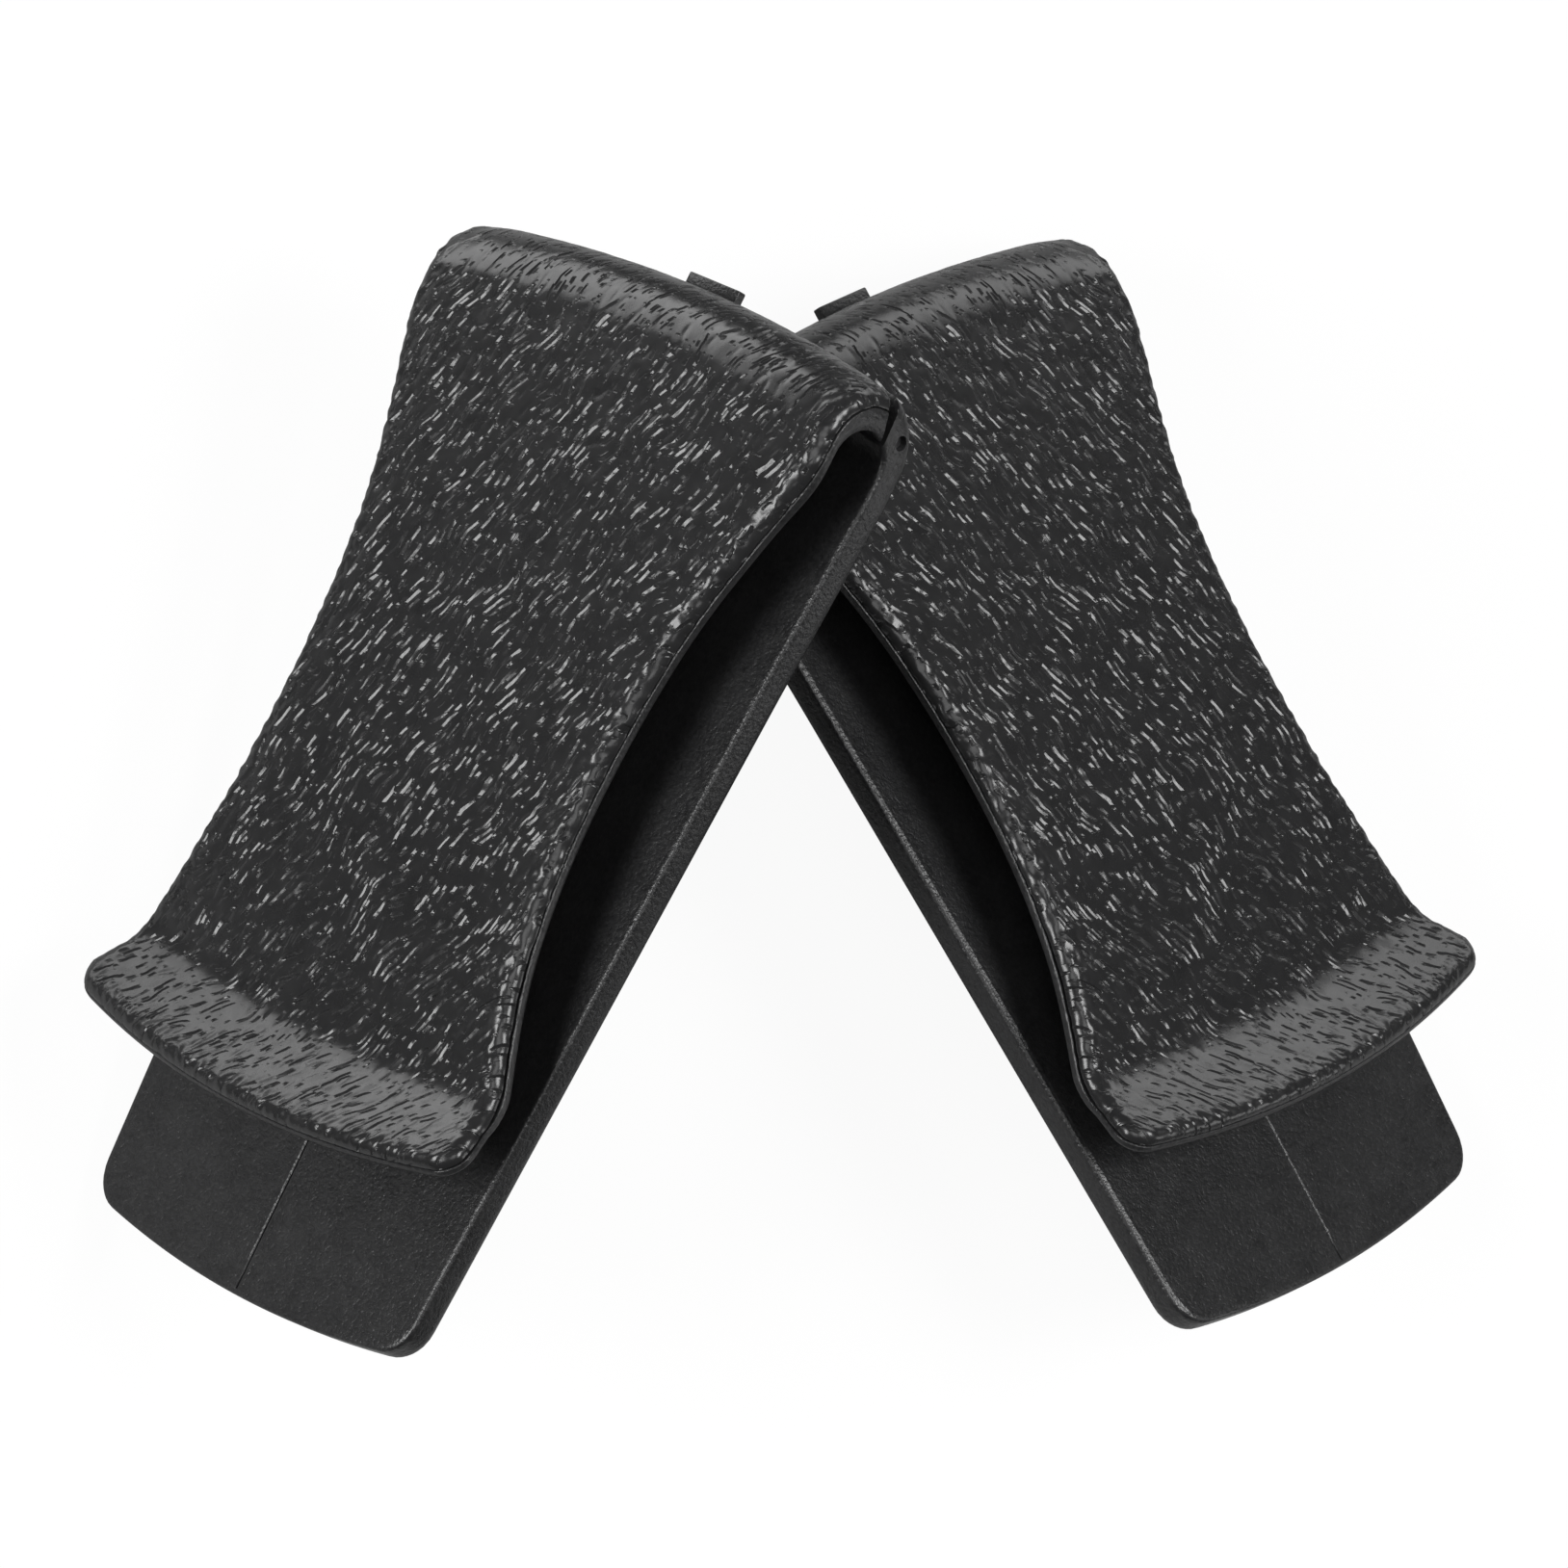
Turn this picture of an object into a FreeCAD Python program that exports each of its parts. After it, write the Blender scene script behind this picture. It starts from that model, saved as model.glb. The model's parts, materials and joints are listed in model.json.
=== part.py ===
import FreeCAD, Part
import Sketcher
import math
import os

# A pair of folded spring clips with a grained front arm, laid together as an inverted V.
# Each clip stands in its own frame: X across its width, Y from the front arm to the rear
# plate, Z from the foot up to the crown, with the rear plate's inner face in the plane Y = 0.

# Driving dimensions in millimetres and degrees.
SIZES = {
    # outline, seen from the front
    "clip_height": 74.4,        # foot to the middle of the crown
    "crown_width": 40.0,
    "crown_rise": 1.6,          # how far the crown's middle stands above its ends
    "foot_width": 32.2,
    "foot_radius": 80.0,        # sweep of the foot's lower edge
    "foot_corner": 2.3,
    "taper_height": 67.6,       # where the rear plate starts to narrow
    "shoulder_height": 67.0,    # where the front arm starts to narrow
    "waist_radius": 74.0,
    "lip_width": 37.4,
    "lip_height": 11.9,         # lowest point of the lip above the foot
    "lip_radius": 80.0,
    "lip_corner": 2.2,
    # section through the fold
    "mouth_gap": 4.8,
    "plate_thick": 2.5,
    "liner_thick": 0.7,
    "cover_thick": 1.2,
    "roof_thick": 2.9,          # solid crown above the mouth
    "join_height": 63.0,        # where the crown meets the straight arms
    "join_overlap": 3.0,        # the crown runs this far down into them
    "bow_height": 38.0,         # the arm runs straight down to here
    "throat_height": 19.5,
    "throat_inset": 1.4,        # how far the arm leans in at the throat
    "bend_radius": 4.0,
    "lip_flare": 30.0,
    "rim_proud": 0.15,          # the liner's rim stands out past the cover
    # hinge
    "pin_back": 0.55,           # pin centre behind the rear plate's inner face
    "pin_drop": 4.2,            # pin centre below the crown's middle
    "pin_radius": 0.5,
    "pin_fit": 0.03,
    "seam_front": 1.9,          # end of the front arm at the crown, ahead of Y = 0
    "seam_lap": 0.6,            # the liner reaches this much further back than the cover
    "notch_width": 0.8,
    "notch_foot": 0.4,
    "lug_radius": 0.9,
    "lug_offset": 10.5,
    "lug_width": 4.6,
    "lug_web": 0.45,
    "swing_gap": 0.3,
    # leaf spring
    "spring_width": 10.0,
    "spring_thick": 0.35,
    "spring_seat": 0.1,
    "spring_room": 0.2,
    "spring_reach": 21.0,
    "spring_tail": 1.0,
    # stop tab
    "tab_width": 4.9,
    "tab_thick": 0.8,
    "tab_height": 0.9,
    "tab_root": 0.45,
    # edges
    "plate_round": 1.2,
    # how the pair lies
    "left_yaw": -37.72,
    "left_pitch": -45.94,
    "left_roll": -71.77,
    "right_yaw": 29.7,
    "right_pitch": 28.2,
    "right_roll": -88.2,
    "crossing_offset": 2.3,     # the crossing lies this far right of the left clip's middle
    "crossing_gap": 0.9,
}


class Size:
    """A length that is both a number and the spreadsheet expression that drives it."""

    def __init__(self, value, text):
        self.value = value
        self.text = text

    def join(self, other, sign, value):
        return Size(value, "(" + self.text + " " + sign + " " + as_size(other).text + ")")

    def __add__(self, other):
        return self.join(other, "+", self.value + as_size(other).value)

    def __sub__(self, other):
        return self.join(other, "-", self.value - as_size(other).value)

    def __mul__(self, other):
        return self.join(other, "*", self.value * as_size(other).value)

    def __truediv__(self, other):
        return self.join(other, "/", self.value / as_size(other).value)

    def __neg__(self):
        return Size(-self.value, "(0 - " + self.text + ")")


def as_size(item):
    return item if isinstance(item, Size) else Size(float(item), repr(float(item)))


def root(size):
    return Size(math.sqrt(size.value), "sqrt(" + size.text + ")")


def sine(size):
    return Size(math.sin(math.radians(size.value)), "sin(" + size.text + ")")


def cosine(size):
    return Size(math.cos(math.radians(size.value)), "cos(" + size.text + ")")


def leg(hypotenuse, other):
    """The remaining side of a right triangle."""
    return root(hypotenuse * hypotenuse - other * other)


def size(alias):
    return Size(SIZES[alias], "Sizes." + alias)


def write_sheet(doc):
    sheet = doc.addObject("Spreadsheet::Sheet", "Sizes")
    for row, (alias, value) in enumerate(SIZES.items(), start=1):
        sheet.set("A%d" % row, alias)
        sheet.set("B%d" % row, str(value))
        sheet.setAlias("B%d" % row, alias)
    doc.recompute()
    return sheet


# ---------------------------------------------------------------------------
# Sketches and features
# ---------------------------------------------------------------------------

class Point:
    """A corner of a profile, reached by a straight line or by an arc of a given radius."""

    def __init__(self, across, up, radius=None, turn=1):
        self.across = as_size(across)
        self.up = as_size(up)
        self.radius = radius
        self.turn = turn

    def vector(self):
        return FreeCAD.Vector(self.across.value, self.up.value, 0)


def new_body(doc, label):
    body = doc.addObject("PartDesign::Body", label)
    body.Label = label
    return body


def new_sketch(body, name, plane):
    sketch = body.newObject("Sketcher::SketchObject", body.Label + "_" + name)
    datum = [item for item in body.Origin.OriginFeatures if item.Role == plane][0]
    sketch.AttachmentSupport = [(datum, "")]
    sketch.MapMode = "FlatFace"
    return sketch


def arc_between(start, end, radius, turn):
    """The short arc between two points; turn 1 runs anticlockwise, -1 clockwise."""
    chord = end - start
    half = chord.Length / 2
    rise = math.sqrt(max(radius * radius - half * half, 0.0))
    side = FreeCAD.Vector(-chord.y, chord.x, 0).normalize()
    centre = start + chord * 0.5 + side * (rise * turn)
    first, last = (start, end) if turn > 0 else (end, start)
    begin = math.atan2(first.y - centre.y, first.x - centre.x)
    finish = math.atan2(last.y - centre.y, last.x - centre.x)
    circle = Part.Circle(centre, FreeCAD.Vector(0, 0, 1), radius)
    return Part.ArcOfCircle(circle, begin, finish)


def add_loop(sketch, points):
    """Draw one closed loop; every corner and radius is bound to the sheet."""
    ends = []
    bound = []
    for index, point in enumerate(points):
        start = points[index - 1].vector()
        end = point.vector()
        if point.radius is None:
            edge = sketch.addGeometry(Part.LineSegment(start, end), False)
            ends.append((edge, 1, 2))
        else:
            arc = arc_between(start, end, point.radius.value, point.turn)
            edge = sketch.addGeometry(arc, False)
            ends.append((edge, 1, 2) if point.turn > 0 else (edge, 2, 1))
            rule = Sketcher.Constraint("Radius", edge, point.radius.value)
            bound.append((rule, point.radius.text))
    joins = []
    for index, (edge, _, finish) in enumerate(ends):
        after, begin, _ = ends[(index + 1) % len(ends)]
        joins.append(Sketcher.Constraint("Coincident", edge, finish, after, begin))
        point = points[index]
        for kind, place in (("DistanceX", point.across), ("DistanceY", point.up)):
            rule = Sketcher.Constraint(kind, -1, 1, edge, finish, place.value)
            bound.append((rule, place.text))
    sketch.addConstraint(joins)
    for rule, text in bound:
        number = sketch.addConstraint(rule)
        sketch.setExpression("Constraints[%d]" % number, text)


def add_circle(sketch, across, up, radius):
    centre = FreeCAD.Vector(across.value, up.value, 0)
    circle = Part.Circle(centre, FreeCAD.Vector(0, 0, 1), radius.value)
    edge = sketch.addGeometry(circle, False)
    rules = (
        (Sketcher.Constraint("DistanceX", -1, 1, edge, 3, across.value), across),
        (Sketcher.Constraint("DistanceY", -1, 1, edge, 3, up.value), up),
        (Sketcher.Constraint("Radius", edge, radius.value), radius),
    )
    for rule, place in rules:
        number = sketch.addConstraint(rule)
        sketch.setExpression("Constraints[%d]" % number, place.text)


def extrude(body, kind, sketch, name, length):
    """A pad or pocket of the given length, centred on the sketch's plane."""
    feature = body.newObject(kind, body.Label + "_" + name)
    feature.Profile = sketch
    if kind == "PartDesign::Pocket":
        feature.Type = "Length"
    feature.Midplane = True
    feature.Length = length.value
    feature.setExpression("Length", length.text)
    sketch.Visibility = False
    return feature


def pad(body, sketch, name, length):
    return extrude(body, "PartDesign::Pad", sketch, name, length)


def pocket(body, sketch, name, length):
    body.Document.recompute()
    before = body.Shape.Volume
    feature = extrude(body, "PartDesign::Pocket", sketch, name, length)
    body.Document.recompute()
    if body.Shape.Volume >= before:
        raise ValueError(feature.Label + " removes nothing")
    return feature


def offset_plane(sketch, distance):
    """Move a sketch along its own normal."""
    sketch.setExpression("AttachmentOffset.Base.z", distance.text)


def arch_sweep(body, sketch, name):
    """Turn a side profile about the crown's arch axis, far enough to pass both sides."""
    half = size("crown_width") / 2
    rise = size("crown_rise")
    arch_radius = (half * half + rise * rise) / (rise * 2)
    axis_height = size("clip_height") - arch_radius
    axis = sketch.addGeometry(
        Part.LineSegment(
            FreeCAD.Vector(-half.value, axis_height.value, 0), FreeCAD.Vector(half.value, axis_height.value, 0)
        ),
        True,
    )
    sketch.addConstraint(Sketcher.Constraint("Horizontal", axis))
    for end, place in ((1, -half), (2, half)):
        number = sketch.addConstraint(Sketcher.Constraint("DistanceX", -1, 1, axis, end, place.value))
        sketch.setExpression("Constraints[%d]" % number, place.text)
    number = sketch.addConstraint(Sketcher.Constraint("DistanceY", -1, 1, axis, 1, axis_height.value))
    sketch.setExpression("Constraints[%d]" % number, axis_height.text)
    feature = body.newObject("PartDesign::Revolution", body.Label + "_" + name)
    feature.Profile = sketch
    feature.ReferenceAxis = (sketch, ["Axis0"])
    feature.Midplane = True
    feature.Angle = 30.0
    sketch.Visibility = False
    return feature


# ---------------------------------------------------------------------------
# Derived sizes of one clip
# ---------------------------------------------------------------------------

half_crown = size("crown_width") / 2
liner_inner = size("mouth_gap")
liner_outer = size("mouth_gap") + size("liner_thick")
cover_outer = liner_outer + size("cover_thick")
outer_radius = (cover_outer + size("plate_thick")) / 2
fold_centre = (size("plate_thick") - cover_outer) / 2
fold_height = size("clip_height") - outer_radius
layer_radius = outer_radius - size("cover_thick")
mouth_radius = size("mouth_gap") / 2
mouth_top_height = size("clip_height") - size("roof_thick") - mouth_radius
seam = -size("seam_front")
nose = seam + size("notch_width")
liner_end = seam + size("seam_lap")
pin_height = size("clip_height") - size("pin_drop")
crown_foot = size("join_height") - size("join_overlap")
spring_inner = layer_radius + size("spring_seat")
spring_outer = spring_inner + size("spring_thick")


def on_fold(radius, across):
    """Height of the fold's circle of this radius where it passes Y = across."""
    return fold_height + leg(radius, across - fold_centre)


def on_mouth(across):
    return mouth_top_height + leg(mouth_radius, across + mouth_radius)


def foot_outline(half_width, lowest, sweep, corner):
    """Right to left along a swept lower edge with two rounded corners."""
    reach = half_width - corner
    drop = leg(sweep - corner, reach)
    corner_height = lowest + sweep - drop
    blend = sweep / (sweep - corner)
    touch = reach * blend
    touch_height = lowest + sweep - drop * blend
    return [
        Point(half_width, corner_height),
        Point(touch, touch_height, corner, -1),
        Point(-touch, touch_height, sweep, -1),
        Point(-half_width, corner_height, corner, -1),
    ]


def trim_to(body, name, loop):
    """Cut away everything outside an outline drawn from the front."""
    sketch = new_sketch(body, name, "XZ_Plane")
    room = size("crown_width")
    low = -room
    high = size("clip_height") + room
    add_loop(sketch, [Point(-room, low), Point(room, low), Point(room, high), Point(-room, high)])
    add_loop(sketch, loop)
    pocket(body, sketch, name + "_trim", size("clip_height"))


def plate_outline():
    top = size("clip_height") + size("crown_rise")
    foot = foot_outline(size("foot_width") / 2, as_size(0), size("foot_radius"), size("foot_corner"))
    shoulder = size("taper_height")
    return (
        [Point(-half_crown, shoulder), Point(-half_crown, top)]
        + [Point(half_crown, top), Point(half_crown, shoulder)]
        + foot
    )


def arm_outline(grow):
    top = size("clip_height") + size("crown_rise")
    half = half_crown + grow
    lowest = size("lip_height") - grow
    lip = foot_outline(size("lip_width") / 2 + grow, lowest, size("lip_radius"), size("lip_corner") + grow)
    lip[0].radius = size("waist_radius")
    lip[0].turn = 1
    shoulder = size("shoulder_height")
    return (
        [Point(-half, shoulder, size("waist_radius"), 1), Point(-half, top)]
        + [Point(half, top), Point(half, shoulder)]
        + lip
    )


def arm_side(front):
    """The arm's side curve from the crown down to the lip, at a given start in Y."""
    lean = size("throat_inset")
    run = size("bow_height") - size("throat_height")
    bow_radius = (run * run + lean * lean) / (lean * 2)
    sine_in = run / bow_radius
    cosine_in = (bow_radius - lean) / bow_radius
    flare = size("lip_flare")
    bend = size("bend_radius")
    throat = front + lean
    turned = throat + bend * (cosine(flare) - cosine_in)
    turned_height = size("throat_height") - bend * (sine_in + sine(flare))
    tip_height = size("lip_height") - size("cover_thick")
    tip = turned - (turned_height - tip_height) * sine(flare) / cosine(flare)
    return [
        (front, size("join_height"), None),
        (front, size("bow_height"), None),
        (throat, size("throat_height"), (bow_radius, 1)),
        (turned, turned_height, (bend, -1)),
        (tip, tip_height, None),
    ]


def arm_section(front, back):
    """A closed section: down the front curve and up the back one."""
    points = []
    for across, up, arc in arm_side(front):
        points.append(Point(across, up, *arc) if arc else Point(across, up))
    climb = arm_side(back)
    after = None
    for across, up, arc in reversed(climb):
        points.append(Point(across, up, after[0], -after[1]) if after else Point(across, up))
        after = arc
    return points


def add_arm(body, front, back, grow):
    """The straight, bowed and flared arm below the crown."""
    sketch = new_sketch(body, "arm", "YZ_Plane")
    add_loop(sketch, arm_section(front, back))
    pad(body, sketch, "arm_pad", size("crown_width") + 1.0)
    trim_to(body, "outline", arm_outline(grow))


def box_section(near, far, low, high):
    return [Point(near, low), Point(far, low), Point(far, high), Point(near, high)]


def drill_pin(body):
    sketch = new_sketch(body, "pin_hole", "YZ_Plane")
    add_circle(sketch, size("pin_back"), pin_height, size("pin_radius") + size("pin_fit"))
    pocket(body, sketch, "pin_bore", size("crown_width") * 2)


# ---------------------------------------------------------------------------
# The pieces of one clip
# ---------------------------------------------------------------------------

def make_rear_plate(doc, side):
    body = new_body(doc, side + "_rear_plate")
    thick = size("plate_thick")
    crown = new_sketch(body, "knuckle", "YZ_Plane")
    nose_foot = liner_end + size("notch_foot")
    add_loop(crown, [
        Point(0, crown_foot),
        Point(thick, crown_foot),
        Point(thick, fold_height),
        Point(nose, on_fold(outer_radius, nose), outer_radius, 1),
        Point(nose_foot, on_mouth(nose_foot)),
        Point(0, mouth_top_height, mouth_radius, -1),
    ])
    arch_sweep(body, crown, "knuckle_arch")
    plate = new_sketch(body, "plate", "YZ_Plane")
    add_loop(plate, box_section(as_size(0), thick, -thick, size("join_height")))
    pad(body, plate, "plate_pad", size("crown_width") + 1.0)
    trim_to(body, "outline", plate_outline())
    add_stop_tab(body)
    cut_lug_notches(body)
    cut_spring_slot(body)
    drill_pin(body)
    round_plate(body)
    return body


def add_stop_tab(body):
    sketch = new_sketch(body, "tab", "YZ_Plane")
    low = size("clip_height") - size("tab_root")
    high = size("clip_height") + size("tab_height")
    add_loop(sketch, box_section(nose, nose + size("tab_thick"), low, high))
    pad(body, sketch, "tab_pad", size("tab_width"))


def cut_lug_notches(body):
    """Room in the knuckle for the liner's two lugs and their swing."""
    back = size("pin_back")
    reach = size("lug_radius") + size("swing_gap")
    width = size("lug_width") + size("swing_gap") * 2
    rise = size("lug_web") * 2 + size("lug_radius") + size("swing_gap") * 1.2
    for hand in (-1, 1):
        place = size("lug_offset") * hand
        name = "left" if hand < 0 else "right"
        ring = new_sketch(body, name + "_lug_ring", "YZ_Plane")
        offset_plane(ring, place)
        add_circle(ring, back, pin_height, reach)
        pocket(body, ring, name + "_lug_ring_cut", width)
        channel = new_sketch(body, name + "_lug_channel", "YZ_Plane")
        offset_plane(channel, place)
        add_loop(channel, [
            Point(back, pin_height - reach),
            Point(back, pin_height + reach),
            Point(seam, pin_height + rise),
            Point(seam, pin_height - reach),
        ])
        pocket(body, channel, name + "_lug_channel_cut", width)


def cut_spring_slot(body):
    """A blind slot in the knuckle that takes the spring's short end."""
    room = size("spring_room")
    near = spring_inner - room
    far = spring_outer + room
    low = fold_height - size("spring_tail") - room
    sketch = new_sketch(body, "spring_slot", "YZ_Plane")
    add_loop(sketch, [
        Point(fold_centre, fold_height + near, near, 1),
        Point(fold_centre, fold_height + far),
        Point(fold_centre + far, fold_height, far, -1),
        Point(fold_centre + far, low),
        Point(fold_centre + near, low),
        Point(fold_centre + near, fold_height),
    ])
    pocket(body, sketch, "spring_slot_cut", size("spring_width") + room * 2)


def round_plate(body):
    """Round the outer rim of the plate and the ends of the knuckle."""
    body.Document.recompute()
    limit = half_crown.value - 0.01
    back = size("plate_thick").value - 0.01
    names = []
    for number, edge in enumerate(body.Shape.Edges, start=1):
        box = edge.BoundBox
        smooth = box.XLength > size("foot_width").value and box.ZMin > size("join_height").value
        on_back = box.YMin > back and not smooth
        on_end = min(abs(box.XMin), abs(box.XMax)) > limit and box.YLength > outer_radius.value / 2
        outside = box.ZMax > fold_height.value and box.ZLength > mouth_radius.value
        if on_back or (on_end and outside and box.YMax > back):
            names.append("Edge%d" % number)
    whole = body.Tip
    rim = body.newObject("PartDesign::Fillet", body.Label + "_rim_round")
    rim.Base = (whole, names)
    rim.setExpression("Radius", "Sizes.plate_round")


def make_front_liner(doc, side):
    body = new_body(doc, side + "_front_liner")
    crown = new_sketch(body, "roof", "YZ_Plane")
    add_loop(crown, [
        Point(-liner_inner, crown_foot),
        Point(-liner_outer, crown_foot),
        Point(-liner_outer, fold_height),
        Point(seam, on_fold(layer_radius, seam), layer_radius, -1),
        Point(liner_end, on_mouth(liner_end)),
        Point(-liner_inner, mouth_top_height, mouth_radius, 1),
    ])
    arch_sweep(body, crown, "roof_arch")
    add_arm(body, -liner_outer, -liner_inner, size("rim_proud"))
    add_lugs(body)
    drill_pin(body)
    return body


def add_lugs(body):
    """Two lugs that reach back from the roof and turn on the pin."""
    back = size("pin_back")
    reach = size("lug_radius")
    web = size("lug_web")
    root_height = pin_height + web + reach * 0.85
    for hand in (-1, 1):
        place = size("lug_offset") * hand
        name = "left" if hand < 0 else "right"
        web_sketch = new_sketch(body, name + "_lug_web", "YZ_Plane")
        offset_plane(web_sketch, place)
        add_loop(web_sketch, [
            Point(back - web, pin_height - web * 1.5),
            Point(back, pin_height + reach),
            Point(seam, root_height + web),
            Point(seam, root_height - web),
        ])
        pad(body, web_sketch, name + "_lug_web_pad", size("lug_width"))
        eye = new_sketch(body, name + "_lug_eye", "YZ_Plane")
        offset_plane(eye, place)
        add_circle(eye, back, pin_height, reach)
        pad(body, eye, name + "_lug_eye_pad", size("lug_width"))


def make_grained_cover(doc, side):
    body = new_body(doc, side + "_grained_cover")
    crown = new_sketch(body, "crown", "YZ_Plane")
    add_loop(crown, [
        Point(-liner_outer, crown_foot),
        Point(-cover_outer, crown_foot),
        Point(-cover_outer, fold_height),
        Point(seam, on_fold(outer_radius, seam), outer_radius, -1),
        Point(seam, on_fold(layer_radius, seam)),
        Point(-liner_outer, fold_height, layer_radius, 1),
    ])
    arch_sweep(body, crown, "crown_arch")
    add_arm(body, -cover_outer, -liner_outer, as_size(0))
    cut_spring_recess(body)
    return body


def cut_spring_recess(body):
    """A shallow bed in the cover's inner face for the spring."""
    room = size("spring_room")
    near = layer_radius - room
    far = spring_outer + size("spring_seat")
    past = fold_centre + size("seam_front")
    low = fold_height - size("spring_reach") - room
    sketch = new_sketch(body, "spring_bed", "YZ_Plane")
    add_loop(sketch, [
        Point(fold_centre - near, low),
        Point(fold_centre - far, low),
        Point(fold_centre - far, fold_height),
        Point(fold_centre, fold_height + far, far, -1),
        Point(past, fold_height + far),
        Point(past, fold_height + near),
        Point(fold_centre, fold_height + near),
        Point(fold_centre - near, fold_height, near, 1),
    ])
    pocket(body, sketch, "spring_bed_cut", size("spring_width") + room * 2)


def make_hinge_pin(doc, side):
    body = new_body(doc, side + "_hinge_pin")
    sketch = new_sketch(body, "pin", "YZ_Plane")
    add_circle(sketch, size("pin_back"), pin_height, size("pin_radius"))
    pad(body, sketch, "pin_pad", size("crown_width") - size("pin_radius") * 2)
    return body


def make_leaf_spring(doc, side):
    body = new_body(doc, side + "_leaf_spring")
    foot = fold_height - size("spring_reach")
    tail = fold_height - size("spring_tail")
    sketch = new_sketch(body, "leaf", "YZ_Plane")
    add_loop(sketch, [
        Point(fold_centre - spring_inner, foot),
        Point(fold_centre - spring_outer, foot),
        Point(fold_centre - spring_outer, fold_height),
        Point(fold_centre, fold_height + spring_outer, spring_outer, -1),
        Point(fold_centre + spring_outer, fold_height, spring_outer, -1),
        Point(fold_centre + spring_outer, tail),
        Point(fold_centre + spring_inner, tail),
        Point(fold_centre + spring_inner, fold_height),
        Point(fold_centre, fold_height + spring_inner, spring_inner, 1),
        Point(fold_centre - spring_inner, fold_height, spring_inner, 1),
    ])
    pad(body, sketch, "leaf_pad", size("spring_width"))
    return body


PIECES = (make_rear_plate, make_front_liner, make_grained_cover, make_hinge_pin, make_leaf_spring)


# ---------------------------------------------------------------------------
# Laying the pair down
# ---------------------------------------------------------------------------

def turn_of(side):
    angles = [SIZES[side + "_" + name] for name in ("yaw", "pitch", "roll")]
    return FreeCAD.Rotation(*angles)


def crossing_places():
    """Where the clips cross: the left plate's back passes over the right crown's end."""
    across = FreeCAD.Vector(
        size("crossing_offset").value,
        size("plate_thick").value,
        fold_height.value - outer_radius.value / 2,
    )
    drop = size("crown_rise").value
    lean = math.radians(60)
    end = FreeCAD.Vector(
        -half_crown.value,
        fold_centre.value - outer_radius.value * math.sin(lean),
        fold_height.value - drop + outer_radius.value * math.cos(lean),
    )
    return across, end


def lay_pair(clips):
    """Turn both clips, let them meet at the crossing, and set the pair on the ground."""
    across, end = crossing_places()
    left_turn = turn_of("left")
    right_turn = turn_of("right")
    away = left_turn.multVec(FreeCAD.Vector(0, -1, 0))
    meeting = right_turn.multVec(end) + away * SIZES["crossing_gap"]
    left_base = meeting - left_turn.multVec(across)
    set_places(clips["left"], FreeCAD.Placement(left_base, left_turn))
    set_places(clips["right"], FreeCAD.Placement(FreeCAD.Vector(0, 0, 0), right_turn))
    bounds = FreeCAD.BoundBox()
    for bodies in clips.values():
        for body in bodies:
            bounds.add(body.Shape.optimalBoundingBox(False, False))
    centre = bounds.Center
    shift = FreeCAD.Vector(-centre.x, -centre.y, -bounds.ZMin)
    set_places(clips["left"], FreeCAD.Placement(left_base + shift, left_turn))
    set_places(clips["right"], FreeCAD.Placement(shift, right_turn))


def set_places(bodies, placement):
    for body in bodies:
        body.Placement = placement
        body.recompute()


def check_model(doc, clips):
    for item in doc.Objects:
        if "Invalid" in item.State or "Error" in item.State:
            raise ValueError(item.Label + " failed")
    for bodies in clips.values():
        for body in bodies:
            if body.Shape.isNull() or not body.Shape.isValid() or len(body.Shape.Solids) != 1:
                raise ValueError(body.Label + " is not one valid solid")


def main():
    doc = FreeCAD.newDocument("SpringClips")
    write_sheet(doc)
    clips = {}
    for side in ("left", "right"):
        clips[side] = [make(doc, side) for make in PIECES]
    doc.recompute()
    lay_pair(clips)
    doc.recompute()
    check_model(doc, clips)
    os.makedirs("parts", exist_ok=True)
    for bodies in clips.values():
        for body in bodies:
            body.Shape.exportStep("parts/" + body.Label + ".step")


main()
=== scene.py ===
import json
import math

import bmesh
import bpy
import numpy as np
from mathutils import Matrix, Vector

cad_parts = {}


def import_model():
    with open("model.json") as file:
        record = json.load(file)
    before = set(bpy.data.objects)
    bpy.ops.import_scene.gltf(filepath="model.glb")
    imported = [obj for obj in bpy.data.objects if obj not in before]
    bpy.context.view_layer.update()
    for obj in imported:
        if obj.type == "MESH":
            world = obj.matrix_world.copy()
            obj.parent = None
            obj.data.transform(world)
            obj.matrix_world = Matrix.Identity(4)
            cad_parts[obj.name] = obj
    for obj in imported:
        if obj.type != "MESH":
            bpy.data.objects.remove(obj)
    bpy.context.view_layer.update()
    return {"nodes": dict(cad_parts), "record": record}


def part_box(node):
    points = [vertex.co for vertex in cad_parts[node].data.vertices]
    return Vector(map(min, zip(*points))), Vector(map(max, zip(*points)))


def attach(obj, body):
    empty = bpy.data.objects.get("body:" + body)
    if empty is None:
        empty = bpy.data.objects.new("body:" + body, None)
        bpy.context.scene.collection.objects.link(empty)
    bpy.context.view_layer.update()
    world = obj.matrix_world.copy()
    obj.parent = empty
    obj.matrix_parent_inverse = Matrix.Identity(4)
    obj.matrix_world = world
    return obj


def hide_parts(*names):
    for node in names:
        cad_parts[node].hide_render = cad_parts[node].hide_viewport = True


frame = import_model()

# A pair of folded spring clips. One clip is worked out in its own millimetres: X across,
# Y from the front arm (negative) to the back of the rear plate, Z from the foot to the crown.

MM = 0.001

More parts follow.
